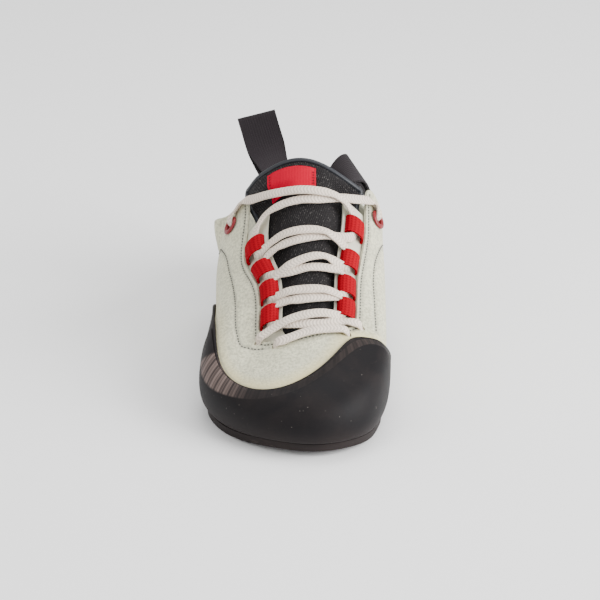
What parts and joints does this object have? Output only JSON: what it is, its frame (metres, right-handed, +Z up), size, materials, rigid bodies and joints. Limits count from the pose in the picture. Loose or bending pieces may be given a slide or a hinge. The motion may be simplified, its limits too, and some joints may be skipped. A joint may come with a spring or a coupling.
{
  "type": "climbing shoe",
  "caption": "Low lace-up climbing shoe for the right foot: suede upper, rubber sole, rand and toe patch, webbing lace loops, tongue and two heel pull loops.",
  "frame": {"origin": "middle of the bounding box in plan, at the floor under the flat spots of the sole", "axes": "+X to the big toe side, +Y from toe to heel, +Z up"},
  "size_m": [0.1, 0.2648, 0.1072],
  "materials": {
    "black_rubber": "matt climbing rubber, lightly scuffed",
    "pale_leather": "pale fine suede",
    "insole_board": "covered board",
    "pale_facing": "pale synthetic facing",
    "black_textile": "woven padded textile",
    "red_cloth": "woven label, blank",
    "red_tape": "narrow webbing",
    "red_enamel": "red enamel",
    "pale_lace": "flat woven lace",
    "black_webbing": "flat webbing"
  },
  "bodies": {
    "root": {"eyelet_lateral": "red_enamel", "eyelet_medial": "red_enamel", "eyestay_lateral": "pale_facing", "eyestay_medial": "pale_facing", "insole": "insole_board", "lace_bar": "pale_lace", "lace_cross_1": "pale_lace", "lace_cross_2": "pale_lace", "lace_cross_3": "pale_lace", "lace_cross_4": "pale_lace", "lace_cross_5": "pale_lace", "lace_loop_lateral_1": "red_tape", "lace_loop_lateral_2": "red_tape", "lace_loop_lateral_3": "red_tape", "lace_loop_lateral_4": "red_tape", "lace_loop_medial_1": "red_tape", "lace_loop_medial_2": "red_tape", "lace_loop_medial_3": "red_tape", "lace_loop_medial_4": "red_tape", "outsole": "black_rubber", "pull_loop_lateral": "black_webbing", "pull_loop_medial": "black_webbing", "rand": "black_rubber", "toe_cap": "black_rubber", "tongue": "black_textile", "tongue_label": "red_cloth", "upper": "pale_leather"}
  },
  "joints": []
}
